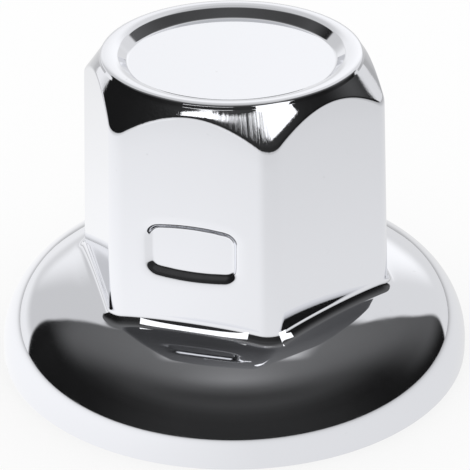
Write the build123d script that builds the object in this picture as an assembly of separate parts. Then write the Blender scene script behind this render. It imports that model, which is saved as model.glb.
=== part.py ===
from build123d import *
import os
from math import asin, atan2, cos, degrees, hypot, radians, sin, tan

# Push-on cover for a hexagon wheel nut: one deep-drawn sheet of steel, open underneath.
# Frame: +Z up the axis, z = 0 on the rim of the flange, X through two corners of the hexagon.
# The cover is the body inside its outside face, less the cavity inside its inside face.
# Both are made by the same functions, and the cavity is inset by one wall.

# ---- driving dimensions, mm and degrees, on the outside face unless it says inside ----
wall = 0.8                   # sheet thickness
overall_height = 41.45       # rim to the top of the crown's bead

# hexagon that slips over the nut
nut_across_flats = 33.0      # wheel nut that the cover fits
nut_gap = 0.7                # between a flat of the nut and the inside face, at the foot
draft_angle = 2.1            # each flat leans in towards the crown
upright_bend = 2.0           # inside radius of the upright edges
foot_radius = 1.3            # where the flats run out into the flange

# flange: a round skirt that falls away gently, then rolls over into a short straight lip
flange_diameter = 60.6
lip_height = 0.9
rim_radius = 10.3            # roll of the rim
skirt_slope = 12.0           # fall of the skirt between the hexagon and the roll

# crown: turned shoulder, bead and sunk disc
shoulder_slope = 54.0        # how steeply the shoulder falls away
bead_circle = 15.4           # radius of the circle along the top of the bead
bead_radius = 1.0
bead_slope = 62.0            # how steep the bead has become when it turns into the crease
crease_radius = 0.5          # hollow bend between the bead and the shoulder
disc_radius = 13.85
disc_depth = 1.5             # disc below the top of the bead

# grip dents, pressed into alternate flats
dent_count = 3
dent_height = 22.1           # rim to the middle of a dent
dent_depth = 0.8
dent_length = 10.4           # floor of the dent, along the flat
dent_width = 5.0             # floor of the dent, up the flat, at its ends
dent_bow = 0.45              # how far the long sides bow out
dent_corner_radius = 0.9
dent_splay = 38.0            # the sides open outwards from the dent's axis
dent_mouth_bend = 0.3        # inside radius of the bend round the mouth
dent_floor_radius = 0.35

# ---- values that follow ----
flat_count = 6
seam_angle = 15.0            # turned faces close here, clear of the upright edges
foot_apothem = nut_across_flats / 2 + nut_gap + wall
rim_centre = (flange_diameter / 2 - rim_radius, lip_height)
foot_height = (
    rim_centre[1]
    + rim_radius / cos(radians(skirt_slope))
    - (foot_apothem - rim_centre[0]) * tan(radians(skirt_slope))
)
disc_height = overall_height - disc_depth
bead_centre = (bead_circle, overall_height - bead_radius)


def at(centre, radius, angle):
    """Point on a circle in the section plane, at an angle measured up from the radius."""
    return (centre[0] + radius * cos(radians(angle)), centre[1] + radius * sin(radians(angle)))


def arc(centre, radius, start, end):
    angles = (start, (start + end) / 2, end)
    return ThreePointArc(*[at(centre, radius, angle) for angle in angles])


def meet(first, angle, second, other_angle):
    """Where the line through the first point at its angle meets the line through the second."""
    across, up = second[0] - first[0], second[1] - first[1]
    turn, other_turn = radians(angle), radians(other_angle)
    reach = (across * sin(other_turn) - up * cos(other_turn)) / sin(other_turn - turn)
    return at(first, reach, angle)


def turned(section):
    return revolve(Plane.XZ * section, Axis.Z).rotate(Axis.Z, seam_angle)


def flange(inset):
    """The flange, filled in to the axis."""
    rim = rim_radius - inset
    lip = at(rim_centre, rim, 0)
    roll_end = at(rim_centre, rim, 90 - skirt_slope)
    apex = meet(roll_end, 180 - skirt_slope, (0, 0), 90)
    outline = Curve() + [
        Line((0, 0), (lip[0], 0)),
        Line((lip[0], 0), lip),
        arc(rim_centre, rim, 0, 90 - skirt_slope),
        Line(roll_end, apex),
        Line(apex, (0, 0)),
    ]
    return turned(make_face(outline))


def crown(inset):
    """Everything under the crown's turned section."""
    # the slope between disc and bead is tangent to the bead
    rise, run = bead_centre[1] - disc_height, bead_circle - disc_radius
    slope = degrees(atan2(rise, run) + asin(bead_radius / hypot(rise, run)))
    bead = bead_radius - inset
    slope_top = at(bead_centre, bead, 90 + slope)
    slope_foot = meet(slope_top, slope, (0, disc_height - inset), 0)
    # the crease turns the other way, so its bend is wider inside
    crease = crease_radius + inset
    crease_centre = at(bead_centre, bead_radius + crease_radius, 90 - bead_slope)
    shoulder_top = at(crease_centre, crease, 270 - shoulder_slope)
    shoulder_foot = meet(shoulder_top, -shoulder_slope, (flange_diameter / 2, 0), 90)
    outline = Curve() + [
        Line((0, 0), (0, slope_foot[1])),
        Line((0, slope_foot[1]), slope_foot),
        Line(slope_foot, slope_top),
        arc(bead_centre, bead, 90 + slope, 90 - bead_slope),
        arc(crease_centre, crease, 270 - bead_slope, 270 - shoulder_slope),
        Line(shoulder_top, shoulder_foot),
        Line(shoulder_foot, (shoulder_foot[0], 0)),
        Line((shoulder_foot[0], 0), (0, 0)),
    ]
    return turned(make_face(outline))


def hexagon(inset):
    """The drafted hexagon with its upright edges rounded, from inside the flange up."""
    base = foot_height / 2
    lean = radians(draft_angle)
    apothem = foot_apothem + (foot_height - base) * tan(lean) - inset / cos(lean)
    outline = Plane.XY.offset(base) * RegularPolygon(apothem, flat_count, major_radius=False)
    block = extrude(outline, overall_height - base, taper=draft_angle)
    upright = block.edges().filter_by(lambda edge: edge.bounding_box().size.Z > base)
    return fillet(upright, upright_bend + wall - inset)


def press_dent(body, inset):
    """Press one grip dent into the -Y flat."""
    lean = radians(draft_angle)
    splay = radians(dent_splay)
    apothem = foot_apothem - (dent_height - foot_height) * tan(lean)
    flat = Plane((0, -apothem, dent_height), x_dir=(1, 0, 0), z_dir=(0, -cos(lean), sin(lean)))
    x, y = dent_length / 2, dent_width / 2
    floor = make_face(Curve() + [
        ThreePointArc((-x, -y), (0, -y - dent_bow), (x, -y)),
        Line((x, -y), (x, y)),
        ThreePointArc((x, y), (0, y + dent_bow), (-x, y)),
        Line((-x, y), (-x, -y)),
    ])
    floor = fillet(floor.vertices(), dent_corner_radius)
    if inset:
        # the sides stay one wall apart, so the floor is wider inside
        floor = offset(floor, inset * (1 / cos(splay) - tan(splay)))
    punch = extrude(flat.offset(-inset - dent_depth) * floor, 2 * dent_depth, taper=-dent_splay)
    tip = punch.faces().sort_by(Axis.Y)[-1]
    punch = fillet(tip.edges(), dent_floor_radius + inset)
    pressed = body - punch
    mouth = new_edges(body, punch, combined=pressed)
    return fillet(mouth, dent_mouth_bend + wall - inset)


def form(inset):
    """The whole cover as a filled body."""
    upper, top = hexagon(inset), crown(inset)
    body = upper & top
    if not inset:
        # the sheet folds over sharply from flat to shoulder, so only the outside is round
        body = fillet(new_edges(upper, top, combined=body), wall)
    for _ in range(dent_count):
        body = press_dent(body, inset).rotate(Axis.Z, 360 / dent_count)
    skirt = flange(inset)
    joined = body + skirt
    return fillet(new_edges(body, skirt, combined=joined), foot_radius + inset)


if __name__ == "__main__":
    os.makedirs("parts", exist_ok=True)
    nut_cover = form(0) - form(wall)
    export_step(nut_cover, "parts/nut_cover.step")
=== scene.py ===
from math import asin, atan2, cos, degrees, hypot, pi, radians, sin, sqrt, tan

import bmesh
import bpy
from mathutils import Euler, Matrix, Vector


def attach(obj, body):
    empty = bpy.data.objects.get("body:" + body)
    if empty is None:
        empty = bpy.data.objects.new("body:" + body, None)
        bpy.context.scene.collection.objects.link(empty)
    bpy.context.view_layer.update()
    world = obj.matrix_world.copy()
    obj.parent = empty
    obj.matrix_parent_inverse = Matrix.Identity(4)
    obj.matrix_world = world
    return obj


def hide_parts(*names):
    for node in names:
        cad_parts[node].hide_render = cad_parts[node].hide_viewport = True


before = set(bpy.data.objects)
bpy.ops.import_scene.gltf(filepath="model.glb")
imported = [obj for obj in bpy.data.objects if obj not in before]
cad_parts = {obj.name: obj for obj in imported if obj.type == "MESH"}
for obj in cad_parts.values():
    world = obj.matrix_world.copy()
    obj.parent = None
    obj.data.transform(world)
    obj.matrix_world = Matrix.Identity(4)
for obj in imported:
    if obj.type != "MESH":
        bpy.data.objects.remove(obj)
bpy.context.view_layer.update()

# ---- sizes of the pressing, in mm and degrees, on the outside face ----
MM = 0.001
SHEET = 0.8
FLATS = 6
FLAT_TURN = 360 / FLATS      # from one flat to the next
HALF_FLAT = tan(radians(FLAT_TURN / 2))   # half a flat's length, for an apothem of 1

FOOT_APOTHEM = 18.0          # half the width over the flats, where they run into the flange
FOOT_HEIGHT = 11.86
FOOT_RADIUS = 1.3
FOOT_TURN = 77.0             # between the fall of the wall and the fall of the flange
DRAFT = 2.1
UPRIGHT_RADIUS = 2.8
FOLD_RADIUS, FOLD_CORNER_RADIUS = 0.6, 2.0   # from wall to shoulder, mid-flat and at the corners

DISC_HEIGHT, DISC_BEND = 40.15, 0.5
LEDGE, LEDGE_SLOPE, LEDGE_BEND = (14.0, 41.22), 44.0, 0.35   # where the bead drops to the disc
CREST_BEND = 4.1             # the bead's roll from its crest in to the ledge
BEAD_CENTRE, BEAD_RADIUS, BEAD_SLOPE = (15.4, 40.448), 1.0, 62.0
BEAD_TOP_BEND, BEAD_TOP_SLOPE, BEAD_EDGE_BEND = 2.0, 15.0, 0.4   # its outer side is flatter on top
CREASE_RADIUS = 0.5          # hollow bend between the bead and the shoulder
SHOULDER_SLOPE = 54.0
SHOULDER_FALL = tan(radians(SHOULDER_SLOPE))

RIM_CENTRE, RIM_RADIUS = (20.8, 1.2), 9.495
DOME_RADIUS, DOME_SWEEP = 22.2, 26.5
SKIRT_TILT = 22.0            # where the flange's rings have become round
LIP_EDGE = [(0, 0.15), (0.05, 0.04), (0.15, 0)]   # rounds the cut edge: in from the face, and height

DENT_HEIGHT, DENT_DEPTH = 22.1, 0.64
DENT_SINK, DENT_SINK_WIDTH = 0.16, 1.4   # the flat itself sinks a little round the mouth
DENT_HALF_LENGTH, DENT_HALF_WIDTH, DENT_BOW = 5.2, 2.5, 0.45
DENT_CORNER = 0.9
DENT_SLOPE = 52.0            # of the dent's sides, from the flat
DENT_MOUTH_RADIUS, DENT_FLOOR_RADIUS = 0.7, 0.4

# ---- where the mesh is fine ----
UPRIGHT_STEPS, FLAT_CUTS = 8, 59
CROWDED_SHARES = (0.28, 0.8)     # of the columns between the middle and the end of a flat,
CROWDED_PLACES = (4.2, 6.7)      # these stand at the two sides of a dent's end
DENT_INNER_ROW, DENT_OUTER_ROW = 1.9, 5.2   # rows crowd between these distances from a dent's middle
EDGE_ROWS, FLOOR_ROWS = 20, 6
TOP_ROW_GAP = 0.3                # from the shoulder's last row to the first of the crowded rows
INNER_FOOT_ROW = 2.0             # height over the inner foot, clear of its bend


def on_arc(centre, radius, tilt):
    """A point of a section whose surface leans away from level by the tilt."""
    return (centre[0] + radius * sin(radians(tilt)), centre[1] + radius * cos(radians(tilt)))


def roll(centre, radius, start, end, steps):
    """Points along an arc, from one tilt to another."""
    return [on_arc(centre, radius, start + (end - start) * k / steps) for k in range(steps + 1)]


def rounded(corner, bend, start, end, steps):
    """The roll that rounds off a corner between two slopes."""
    reach = bend * tan(radians(end - start) / 2)
    first = on_arc(corner, -reach, start + 90)
    return roll(on_arc(first, -bend, start), bend, start, end, steps)


def inner_bend(bend, inset):
    """The bend on the inset side of the sheet, where it goes round a corner."""
    return max(bend - inset, 0.1)


def spread(start, end, steps):
    """Even steps from the start, which is left out, to the end."""
    return [start + (end - start) * (k + 1) / steps for k in range(steps)]


DOME_CENTRE = on_arc(RIM_CENTRE, RIM_RADIUS - DOME_RADIUS, DOME_SWEEP)
CREASE_CENTRE = on_arc(BEAD_CENTRE, BEAD_RADIUS + CREASE_RADIUS, BEAD_SLOPE)


def flange_height(radius, inset):
    """Height of the flange, a shallow dome that rolls over into the rim."""
    centre, bend = DOME_CENTRE, DOME_RADIUS - inset
    if radius > on_arc(RIM_CENTRE, RIM_RADIUS - inset, DOME_SWEEP)[0]:
        centre, bend = RIM_CENTRE, RIM_RADIUS - inset
    return centre[1] + sqrt(bend ** 2 - (radius - centre[0]) ** 2)


def shoulder_height(radius, inset):
    """Height of the shoulder, a cone that begins where the crease ends."""
    top = on_arc(CREASE_CENTRE, -CREASE_RADIUS - inset, SHOULDER_SLOPE)
    return top[1] - (radius - top[0]) * SHOULDER_FALL


def dent_press(across, up):
    """How deep the dent is, at a place on the flat measured from the dent's middle."""
    bow = DENT_BOW * max(0.0, 1 - (across / DENT_HALF_LENGTH) ** 2)
    x = abs(across) - DENT_HALF_LENGTH + DENT_CORNER
    y = abs(up) - bow - DENT_HALF_WIDTH + DENT_CORNER
    out = hypot(max(x, 0.0), max(y, 0.0)) + min(max(x, y), 0.0) - DENT_CORNER
    slope = radians(DENT_SLOPE)
    floor, floor_bend = DENT_FLOOR_RADIUS, DENT_FLOOR_RADIUS * tan(slope / 2)
    mouth, mouth_bend = DENT_MOUTH_RADIUS, DENT_MOUTH_RADIUS * tan(slope / 2)
    width = DENT_DEPTH / tan(slope)
    sink = DENT_SINK * min(1.0, max(0.0, 1 - (out - width) / DENT_SINK_WIDTH)) ** 2
    if out < -floor_bend:
        return sink + DENT_DEPTH
    if out < floor_bend * cos(slope):
        return sink + DENT_DEPTH - floor + sqrt(floor ** 2 - (out + floor_bend) ** 2)
    if out < width - mouth_bend * cos(slope):
        return sink + DENT_DEPTH - out * tan(slope)
    if out < width + mouth_bend:
        return sink + mouth - sqrt(mouth ** 2 - (width + mouth_bend - out) ** 2)
    return sink


def closer_to_dent_ends(across):
    """Slides a column along its flat, so that the columns crowd where the dent's ends are."""
    half = (FOOT_APOTHEM - UPRIGHT_RADIUS) * HALF_FLAT
    share, side = abs(across) / half, 1 if across > 0 else -1
    shares, places = (0, *CROWDED_SHARES, 1), (0, *CROWDED_PLACES, half)
    part = sum(share > limit for limit in CROWDED_SHARES)
    along_part = (share - shares[part]) / (shares[part + 1] - shares[part])
    return side * (places[part] + (places[part + 1] - places[part]) * along_part)


class Column:
    """One line down the pressing, from the disc over the crown and the wall to the rim."""

    def __init__(self, point):
        flat = degrees(atan2(point.y, point.x)) % 360 // FLAT_TURN
        facing = radians(FLAT_TURN * (flat + 0.5))
        self.out = Vector((cos(facing), sin(facing)))
        self.along = Vector((-sin(facing), cos(facing)))
        self.foot = point.xy / MM
        if abs(self.foot.dot(self.out) - FOOT_APOTHEM) < 0.001:
            across = closer_to_dent_ends(self.foot.dot(self.along))
            self.foot = self.out * FOOT_APOTHEM + self.along * across
        self.way = self.foot.normalized()
        self.dented = flat % 2 == 0

    def turned(self, radius, height):
        """A point of a turned surface."""
        return Vector((*(self.way * radius), height)) * MM

    def flat_point(self, height, inset):
        """The wall before any dent."""
        draft = radians(DRAFT)
        apothem = FOOT_APOTHEM - (height - FOOT_HEIGHT) * tan(draft) - inset / cos(draft)
        return self.foot * apothem / FOOT_APOTHEM

    def wall(self, height, inset):
        point = self.flat_point(height, inset)
        if self.dented:
            point = point - self.out * dent_press(point.dot(self.along), height - DENT_HEIGHT)
        return Vector((*point, height)) * MM

    def crossing(self, surface, inset):
        """Height at which the wall meets a turned surface."""
        height = FOOT_HEIGHT if surface is flange_height else DISC_HEIGHT
        for _ in range(8):
            height = surface(self.flat_point(height, inset).length, inset)
        return height

    def fold(self, inset, steps):
        """The roll from the shoulder over into the wall, tighter in the middle of a flat."""
        share = abs(self.foot.dot(self.along)) / (FOOT_APOTHEM * HALF_FLAT)
        bend = FOLD_RADIUS + (FOLD_CORNER_RADIUS - FOLD_RADIUS) * share ** 2
        bend = inner_bend(bend, inset)
        wall_tilt = degrees(atan2(FOOT_APOTHEM, self.foot.length * tan(radians(DRAFT))))
        height = self.crossing(shoulder_height, inset)
        corner = (self.flat_point(height, inset).length, height)
        return rounded(corner, bend, SHOULDER_SLOPE, wall_tilt, steps)


def hexagon_outline(bm):
    """The rounded outline of the hexagon at its foot, filled, as a ring of points in order."""
    turn = Matrix.Rotation(radians(FLAT_TURN / 2), 4, "Z")
    corner = FOOT_APOTHEM / cos(radians(FLAT_TURN / 2)) * MM
    bmesh.ops.create_circle(bm, cap_ends=True, segments=FLATS, radius=corner, matrix=turn)
    bmesh.ops.bevel(
        bm, geom=bm.verts[:], offset=UPRIGHT_RADIUS * HALF_FLAT * MM, offset_type="OFFSET",
        segments=UPRIGHT_STEPS, profile=0.5, affect="VERTICES", material=-1)
    sides = [edge for edge in bm.edges if edge.calc_length() > UPRIGHT_RADIUS * MM]
    bmesh.ops.subdivide_edges(bm, edges=sides, cuts=FLAT_CUTS)
    return sorted(bm.verts, key=lambda v: atan2(v.co.y, v.co.x))


class Sheet:
    """The skin of the sheet, drawn on from ring to ring down all the columns at once."""

    def __init__(self):
        self.bm = bmesh.new()
        self.ring = hexagon_outline(self.bm)
        self.columns = [Column(v.co) for v in self.ring]

    def edges(self, ring):
        return [self.bm.edges.get((ring[k - 1], ring[k])) for k in range(len(ring))]

    def draw_on(self, places):
        """Draws the sheet on to a new ring, whose points go to the places."""
        made = set(bmesh.ops.extrude_edge_only(self.bm, edges=self.edges(self.ring))["geom"])
        following = []
        for vert, place in zip(self.ring, places):
            twin = next(e.other_vert(vert) for e in vert.link_edges if e.other_vert(vert) in made)
            twin.co = place
            following.append(twin)
        self.ring = following

    def turned(self, section):
        """Follows a section that is the same all round."""
        for radius, height in section:
            self.draw_on([c.turned(radius, height) for c in self.columns])

    def surface(self, radii, height, inset):
        """Goes to a radius for each column, on a turned surface."""
        self.draw_on([c.turned(r, height(r, inset)) for c, r in zip(self.columns, radii)])

    def fold(self, folds):
        """Follows each column's own roll between shoulder and wall."""
        for places in zip(*folds):
            self.draw_on([c.turned(*place) for c, place in zip(self.columns, places)])

    def wall(self, heights, inset):
        """Goes to a height on the wall for each column."""
        self.draw_on([c.wall(h, inset) for c, h in zip(self.columns, heights)])

    def rows(self, rows, inset):
        """Follows level rows on the wall."""
        for row in rows:
            self.wall([row] * len(self.columns), inset)

    def bevel(self, edges, radius, segments):
        """Rounds the foot, where the wall runs out into the flange."""
        bmesh.ops.bevel(
            self.bm, geom=edges, offset=radius * tan(radians(FOOT_TURN / 2)) * MM, offset_type="OFFSET",
            segments=segments, profile=0.5, affect="EDGES", clamp_overlap=False, material=-1)


def between(start, end, share):
    return start + (end - start) * share


def crown_section(inset, steps):
    """From the disc over the bead to the top of the shoulder."""
    # the slope between ledge and crest is tangent to the crest
    crest_centre = (BEAD_CENTRE[0], BEAD_CENTRE[1] + BEAD_RADIUS - CREST_BEND)
    rise, run = crest_centre[1] - LEDGE[1], crest_centre[0] - LEDGE[0]
    slope = degrees(atan2(rise, run) + asin(CREST_BEND / hypot(rise, run)))
    disc_radius = LEDGE[0] - (LEDGE[1] - DISC_HEIGHT) / tan(radians(LEDGE_SLOPE))
    disc_radius -= DISC_BEND * tan(radians(LEDGE_SLOPE / 2))
    bend_centre = (disc_radius, DISC_HEIGHT + DISC_BEND)
    section = roll(bend_centre, -DISC_BEND - inset, 0, -LEDGE_SLOPE, steps)
    ledge_inset = inset / cos(radians(LEDGE_SLOPE - slope) / 2)
    ledge = on_arc(LEDGE, -ledge_inset, -(LEDGE_SLOPE + slope) / 2)
    section += rounded(ledge, inner_bend(LEDGE_BEND, inset), -LEDGE_SLOPE, -slope, steps)
    section += roll(crest_centre, CREST_BEND - inset, -slope, 0, steps)
    if inset:
        section += roll(BEAD_CENTRE, BEAD_RADIUS - inset, 0, BEAD_SLOPE, 2 * steps)[1:]
    else:
        # the outside of the bead is nearly flat on top and turns down sharply
        top_centre = (BEAD_CENTRE[0], BEAD_CENTRE[1] + BEAD_RADIUS - BEAD_TOP_BEND)
        section += roll(top_centre, BEAD_TOP_BEND, 0, BEAD_TOP_SLOPE, steps)[1:]
        edge_centre = on_arc(top_centre, BEAD_TOP_BEND - BEAD_EDGE_BEND, BEAD_TOP_SLOPE)
        section += roll(edge_centre, BEAD_EDGE_BEND, BEAD_TOP_SLOPE, BEAD_SLOPE, steps)[1:]
    return section + roll(CREASE_CENTRE, -CREASE_RADIUS - inset, BEAD_SLOPE, SHOULDER_SLOPE, 3)[1:]


def dent_rows():
    """Rows down the part of the wall that has the dents, crowded at their upper and lower ends."""
    upper, lower = DENT_HEIGHT + DENT_INNER_ROW, DENT_HEIGHT - DENT_INNER_ROW
    rows = spread(DENT_HEIGHT + DENT_OUTER_ROW, upper, EDGE_ROWS)
    rows += spread(upper, lower, FLOOR_ROWS)
    return rows + spread(lower, DENT_HEIGHT - DENT_OUTER_ROW, EDGE_ROWS)


def rim_section():
    """The cut edge of the rim, from the outside round to the inside."""
    outer, inner = RIM_CENTRE[0] + RIM_RADIUS, RIM_CENTRE[0] + RIM_RADIUS - SHEET
    down = [(outer - off, height) for off, height in LIP_EDGE]
    up = [(inner + off, height) for off, height in reversed(LIP_EDGE)]
    return [(outer, RIM_CENTRE[1] / 2), *down, *up, (inner, RIM_CENTRE[1] / 2)]


def press_outside(sheet):
    """Disc, bead, shoulder, wall and flange, and round the rim. Returns the ring at the foot."""
    start, *section = crown_section(0, 7)
    for column, vert in zip(sheet.columns, sheet.ring):
        vert.co = column.turned(*start)
    sheet.turned(section)

    crease_end = section[-1][0]
    folds = [c.fold(0, 8) for c in sheet.columns]
    for share in (0.25, 0.5, 0.75):
        sheet.surface([between(crease_end, fold[0][0], share) for fold in folds], shoulder_height, 0)
    sheet.fold(folds)

    rows = dent_rows()
    feet = [c.crossing(flange_height, 0) for c in sheet.columns]
    for share in (0.25, 0.5, 0.75, 1):
        sheet.wall([between(fold[-1][1], rows[0] + TOP_ROW_GAP, share) for fold in folds], 0)
    sheet.rows(rows, 0)
    for share in (0.3, 0.6, 1):
        sheet.wall([between(rows[-1], foot + FOOT_RADIUS, share) for foot in feet], 0)
    sheet.wall(feet, 0)
    foot_ring = sheet.ring

    foot_radii = [c.flat_point(foot, 0).length for c, foot in zip(sheet.columns, feet)]
    round_radius = on_arc(DOME_CENTRE, DOME_RADIUS, SKIRT_TILT)[0]
    for share in (0.42, 0.6, 0.8, 1):
        sheet.surface([between(radius, round_radius, share) for radius in foot_radii], flange_height, 0)
    sheet.turned(roll(DOME_CENTRE, DOME_RADIUS, SKIRT_TILT, DOME_SWEEP, 3)[1:])
    sheet.turned(roll(RIM_CENTRE, RIM_RADIUS, DOME_SWEEP, 90, 20)[1:])
    sheet.turned(rim_section())
    return foot_ring


def press_inside(sheet):
    """From the rim back up under the crown, with fewer rings. Returns the ring at the foot."""
    sheet.turned(roll(RIM_CENTRE, RIM_RADIUS - SHEET, 90, DOME_SWEEP, 14))
    sheet.turned(roll(DOME_CENTRE, DOME_RADIUS - SHEET, DOME_SWEEP, SKIRT_TILT, 2)[1:])
    round_radius = on_arc(DOME_CENTRE, DOME_RADIUS - SHEET, SKIRT_TILT)[0]
    feet = [c.crossing(flange_height, SHEET) for c in sheet.columns]
    foot_radii = [c.flat_point(foot, SHEET).length for c, foot in zip(sheet.columns, feet)]
    sheet.surface([between(radius, round_radius, 0.3) for radius in foot_radii], flange_height, SHEET)
    sheet.wall(feet, SHEET)
    foot_ring = sheet.ring

    rows = dent_rows()
    sheet.wall([foot + INNER_FOOT_ROW for foot in feet], SHEET)
    sheet.rows([rows[-1] - 0.5], SHEET)
    sheet.rows(reversed(rows[::2]), SHEET)
    folds = [c.fold(SHEET, 4)[::-1] for c in sheet.columns]
    sheet.wall([between(rows[0], fold[0][1], 0.5) for fold in folds], SHEET)
    sheet.fold(folds)
    sheet.turned(reversed(crown_section(SHEET, 4)))
    bmesh.ops.contextual_create(sheet.bm, geom=sheet.edges(sheet.ring))
    return foot_ring


def press_cover():
    """The cover as one closed skin."""
    sheet = Sheet()
    foot = press_outside(sheet)
    inner_foot = press_inside(sheet)
    sheet.bevel(sheet.edges(foot), FOOT_RADIUS, 7)
    sheet.bevel(sheet.edges(inner_foot), FOOT_RADIUS + SHEET, 5)
    bmesh.ops.recalc_face_normals(sheet.bm, faces=sheet.bm.faces[:])
    mesh = bpy.data.meshes.new("cover")
    sheet.bm.to_mesh(mesh)
    sheet.bm.free()
    mesh.shade_smooth()
    piece = bpy.data.objects.new("cover_skin", mesh)
    bpy.context.scene.collection.objects.link(piece)
    return piece


cover = press_cover()
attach(cover, "root")
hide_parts("nut_cover")


# ---- node materials ----
WHITE = (1, 1, 1, 1)


class Socket:
    """A socket of a shader node, used in sums as a number is."""

    def __init__(self, tree, socket):
        self.tree, self.socket = tree, socket

    def math(self, operation, *values):
        return node(self.tree, "ShaderNodeMath", {"operation": operation}, values)[0]

    def __add__(self, other):
        return self.math("ADD", self, other)

    def __radd__(self, other):
        return self.math("ADD", other, self)

    def __sub__(self, other):
        return self.math("SUBTRACT", self, other)

    def __rsub__(self, other):
        return self.math("SUBTRACT", other, self)

    def __mul__(self, other):
        return self.math("MULTIPLY", self, other)

    def __rmul__(self, other):
        return self.math("MULTIPLY", other, self)

    def __truediv__(self, other):
        return self.math("DIVIDE", self, other)


def node(tree, kind, settings, values):
    """Adds a node with its settings and the values or links of its sockets. Returns its outputs."""
    made = tree.nodes.new(kind)
    for name, value in settings.items():
        if name == "stops":
            place_stops(made.color_ramp.elements, value)
        else:
            setattr(made, name, value)
    pairs = values.items() if isinstance(values, dict) else enumerate(values)
    for name, value in pairs:
        if isinstance(value, Socket):
            tree.links.new(value.socket, made.inputs[name])
        else:
            made.inputs[name].default_value = value
    return [Socket(tree, output) for output in made.outputs]


def place_stops(elements, stops):
    """Gives a ramp its stops, pairs of place and level."""
    for place, _ in stops[1:-1]:
        elements.new(place)
    for element, (place, level) in zip(elements, stops):
        element.position = place
        element.color = (level, level, level, 1)


def step(value, low, high):
    """0 below low and 1 above high, with a soft turn between."""
    return node(value.tree, "ShaderNodeMapRange", {"interpolation_type": "SMOOTHSTEP"},
                {"Value": value, "From Min": low, "From Max": high})[0]


def ramp(value, stops):
    """A level that follows the stops."""
    return node(value.tree, "ShaderNodeValToRGB", {"stops": stops}, [value])[0]


def mixed(tree, share, first, second):
    """The first colour with a share of the second."""
    return node(tree, "ShaderNodeMix", {"data_type": "RGBA"}, {"Factor": share, 6: first, 7: second})[2]


def vector_math(operation, *vectors):
    """What an operation makes of the vectors: a vector and a number."""
    return node(vectors[0].tree, "ShaderNodeVectorMath", {"operation": operation}, vectors)


def along(vector, direction):
    """How far a vector runs along a direction."""
    return vector_math("DOT_PRODUCT", vector, direction)[1]


def noise(place, scale, detail, roughness):
    """Cloudy noise from 0 to 1, with so many clouds to a metre."""
    return node(place.tree, "ShaderNodeTexNoise", {},
                {"Vector": place, "Scale": scale, "Detail": detail, "Roughness": roughness})[0]


# ---- chrome ----
ABOVE_DENTS, BELOW_BEAD = 30, 37   # heights in mm


def mark_inside(mesh):
    """Stores which points are on the inside of the sheet, where the plate is thin and dull."""
    inside = mesh.attributes.new("inside", "FLOAT", "POINT")
    for point, value in zip(mesh.vertices, inside.data):
        # over its cut edge the outside faces down only in a dent, and faces in only where the bead
        # drops to the disc
        outward = point.normal.xy.dot(point.co.xy.normalized())
        ceiling = point.normal.z < -0.3 and (outward < 0.2 or point.co.z > ABOVE_DENTS * MM)
        wall = outward < -0.5 and point.co.z < BELOW_BEAD * MM
        value.value = float(ceiling or wall)


def towards(direction, bearing, outer, inner):
    """1 in a patch round a bearing, and 0 outside it. The two limits are cosines."""
    middle = Vector((cos(radians(bearing)), sin(radians(bearing)), 0))
    return step(along(direction, middle), outer, inner)


mark_inside(cover.data)
chrome = bpy.data.materials.new("chrome_plate")
chrome.use_nodes = True
tree = chrome.node_tree
place = node(tree, "ShaderNodeTexCoord", {}, {})[3]
inside = node(tree, "ShaderNodeAttribute", {"attribute_name": "inside"}, {})[2]
flat_place = vector_math("MULTIPLY", place, (1, 1, 0))[0]
radius = vector_math("LENGTH", flat_place)[1] / MM
height = node(tree, "ShaderNodeSeparateXYZ", {}, {0: place})[2] / MM
off_shoulder = height + SHOULDER_FALL * radius - shoulder_height(0, 0)
shoulder = step(off_shoulder.math("ABSOLUTE", off_shoulder), 0.4, 0.2) * step(radius, 16.35, 16.8)

# draw marks run down the shoulder by the front corner, where the sheet has flowed most: their noise
# changes quickly round the axis and hardly at all along it
turn = vector_math("NORMALIZE", flat_place)[0]
drawn = vector_math("MULTIPLY_ADD", turn, (60, 60, 0), place)[0]
marks = step(noise(drawn, 1.0, 6, 0.7), 0.42, 0.66) * shoulder
marks = marks * (0.08 + 0.92 * towards(turn, -69.5, 0.978, 0.993))

# the press has left dimples beside them
dimples = noise(place, 2100, 3, 0.6) * shoulder * (0.1 + 0.9 * towards(turn, -103, 0.989, 0.996))
smears = step(noise(place, 160, 3, 0.55), 0.45, 0.75)
grain = noise(place, 2600, 4, 0.6)
pits = step(noise(place, 900, 2, 0.5), 0.75, 0.82)
ripple = noise(place, 85, 1, 0.4)

shader = tree.nodes["Principled BSDF"]
shader.inputs["Metallic"].default_value = 1
bright, pitted, dull = (0.895, 0.905, 0.945, 1), (0.55, 0.55, 0.56, 1), (0.56, 0.56, 0.57, 1)
tint = mixed(tree, inside * 0.8, mixed(tree, pits * 0.25, bright, pitted), dull)
tree.links.new(tint.socket, shader.inputs["Base Color"])
rough = 0.03 + 0.035 * smears + 0.02 * grain + 0.03 * marks + 0.2 * inside
tree.links.new(rough.socket, shader.inputs["Roughness"])
# heights in mm
relief = ripple * 0.016 + marks * 0.014 + dimples * 0.03 + grain * 0.00025 - pits * 0.0006
bump = node(tree, "ShaderNodeBump", {}, {"Strength": 1.0, "Distance": MM, "Height": relief})[0]
tree.links.new(bump.socket, shader.inputs["Normal"])
cover.data.materials.append(chrome)

# ---- camera ----
lens = bpy.data.cameras.new("camera")
lens.lens, lens.sensor_width = 158.98, 36
lens.clip_start, lens.clip_end = 0.01, 20
camera = bpy.data.objects.new("camera", lens)
bpy.context.scene.collection.objects.link(camera)
stand = Vector((0.06838, -0.22421, 0.14389))
aim = Euler((radians(61.2805), radians(0.4641), radians(16.655)))
camera.matrix_world = Matrix.LocRotScale(stand, aim, None)
bpy.context.scene.camera = camera

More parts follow.
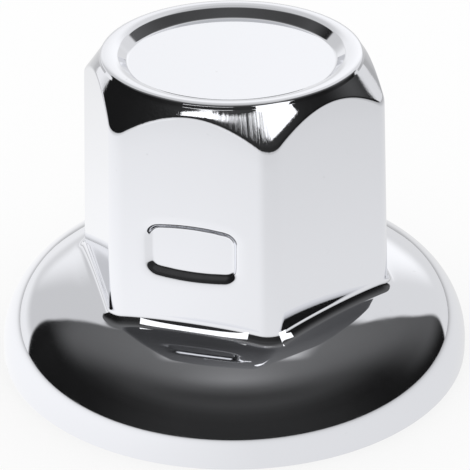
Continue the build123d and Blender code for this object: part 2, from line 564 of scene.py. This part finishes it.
# ---- floor ----
FRONT = Vector((0.2917, -0.9565, 0))   # the dark side of the room
LEFT = Vector((FRONT.y, -FRONT.x, 0))
FLOOR_RADIUS = 3                       # in metres
FLOOR_DROP = 0.02 * MM                 # keeps the floor clear of the rim

bm = bmesh.new()
below = Matrix.Translation((0, 0, -FLOOR_DROP))
bmesh.ops.create_circle(bm, cap_ends=True, segments=96, radius=FLOOR_RADIUS, matrix=below)
mesh = bpy.data.meshes.new("floor")
bm.to_mesh(mesh)
bm.free()
floor = bpy.data.objects.new("floor", mesh)
bpy.context.scene.collection.objects.link(floor)
paper = bpy.data.materials.new("paper")
paper.use_nodes = True
tree = paper.node_tree
place = node(tree, "ShaderNodeTexCoord", {}, {})[3]
reach = vector_math("LENGTH", place)[1]
side = along(place, LEFT) / reach

# painted shade: in the chrome the paper's glow gets greyer up to half a metre away, and to the right, a
# fall-off of light painted into the paper
painted_falloff = [(0.0, 1.0), (0.10, 0.98), (0.20, 0.89), (0.34, 0.70), (0.8, 0.56), (1.0, 0.5)]
level = ramp(reach * 2, painted_falloff)
level = level * ramp(side * 0.5 + 0.5, [(0.0, 0.80), (0.45, 0.83), (0.75, 0.97), (1.0, 1.03)])
rays = node(tree, "ShaderNodeLightPath", {}, {})
seen, glossy = rays[0], rays[3]
# the paper glows white to the camera, and with the painted shade in the chrome
white_and_painted_shade_glow = node(tree, "ShaderNodeEmission", {}, {"Color": mixed(tree, seen, level, WHITE), "Strength": 1.0})[0]
shaded = node(tree, "ShaderNodeBsdfDiffuse", {}, {"Color": (0.97, 0.97, 0.97, 1)})[0]
both = node(tree, "ShaderNodeMixShader", {}, {0: seen * 0.75 + glossy * 0.95, 1: shaded, 2: white_and_painted_shade_glow})[0]
tree.links.new(both.socket, tree.nodes["Material Output"].inputs["Surface"])
floor.data.materials.append(paper)

# ---- light ----
# Even light from all round. The chrome shows a room that is dark in front, with a pale card behind the
# cover and a duller one over it.
world = bpy.data.worlds.new("studio")
bpy.context.scene.world = world
world.use_nodes = True
tree = world.node_tree
way = node(tree, "ShaderNodeTexCoord", {}, {})[0]
forward = along(way, FRONT)
leftward = along(way, LEFT)
on_right = step(leftward, 0.2, -0.2)
up = node(tree, "ShaderNodeSeparateXYZ", {}, {0: way})[2]
rise = up.math("ARCSINE", up) * (2 / pi)   # 0 at the horizon, 1 overhead

dark = ramp(rise, [(0.0, 0.009), (0.28, 0.010), (0.40, 0.016), (0.50, 0.030), (0.61, 0.055),
                   (0.72, 0.085), (0.83, 0.125), (0.94, 0.20), (1.0, 0.23)])
dark = dark + 0.016 * step(forward, 0.2, 0.95)
dark = dark + 0.09 * step(forward, 0.1, -0.6) * step(rise + 0.27 * on_right, 0.3, 0.5)
dark = dark * (1 - 0.5 * step(forward, -0.1, 0.5) * step(rise, 0.5, 0.72))

card = 0.62 + 0.31 * step(forward, -0.78, -0.9) * step(rise, 0.1, 0.2) + 0.13 * on_right
foot_of_card = 0.9 - 0.14 * on_right
card = card + (foot_of_card - card) * step(rise, 0.16, 0.06)
level_way = vector_math("NORMALIZE", vector_math("MULTIPLY", way, (1, 1, 0))[0])[0]
edge = along(level_way, FRONT) + 0.8 * rise + 0.1 * on_right * step(rise, 0.35, 0.1)
behind = step(edge, -0.42, -0.46) * step(rise, 0.55, 0.50)

sideways = leftward.math("ABSOLUTE", leftward)
overhead = step(forward, -0.26, -0.34) * step(sideways, 0.28, 0.18) * (1 - behind)
room = dark * (1 - behind - overhead) + card * behind + 0.55 * overhead
glossy = node(tree, "ShaderNodeLightPath", {}, {})[3]
strength = room * glossy + (1 - glossy)
back = tree.nodes["Background"]
back.inputs["Color"].default_value = WHITE
tree.links.new(strength.socket, back.inputs["Strength"])

LAMP_LEVEL = 1.25            # how bright a lamp's face is, where 1 is white


def strip_lamp(name, bearing, distance, across, height, tilt, lean, length, width):
    """A narrow lamp close to the cover, in mm and degrees, that shows in the chrome alone.

    It stands at a bearing from the front, faces the axis, is tilted in its own plane and leans over.
    """
    shape = bpy.data.lights.new(name, "AREA")
    shape.shape = "RECTANGLE"
    shape.size, shape.size_y = length * MM, width * MM
    shape.energy = LAMP_LEVEL * pi * shape.size * shape.size_y
    lamp = bpy.data.objects.new(name, shape)
    out = Matrix.Rotation(radians(bearing), 3, "Z") @ FRONT
    side = Vector((-out.y, out.x, 0))
    centre = (out * distance + side * across + Vector((0, 0, height))) * MM
    back = out * cos(radians(lean)) + Vector((0, 0, sin(radians(lean))))
    span = side * cos(radians(tilt)) + back.cross(side) * sin(radians(tilt))
    turn = Matrix((span, back.cross(span), back)).transposed()
    lamp.matrix_world = Matrix.Translation(centre) @ turn.to_4x4()
    lamp.visible_camera = False
    lamp.visible_diffuse = False
    bpy.context.scene.collection.objects.link(lamp)


strip_lamp("shoulder_lamp_left", -25, 22.0, 4.8, 46.35, 13.2, 0, 11.7, 1.33)
strip_lamp("shoulder_lamp_right", 30, 22.0, -2.74, 45.84, 24.5, 0, 7.9, 6.0)
# these two lean to face the middle of the bend at the foot
strip_lamp("foot_lamp_left", -17.0, 18.57, 0.25, 12.30, 0, FOOT_TURN / 2, 13.9, 0.27)
strip_lamp("foot_lamp_right", 43.0, 18.72, -8.15, 12.10, 0, FOOT_TURN / 2, 1.9, 0.22)

bpy.context.scene.view_settings.view_transform = "Standard"
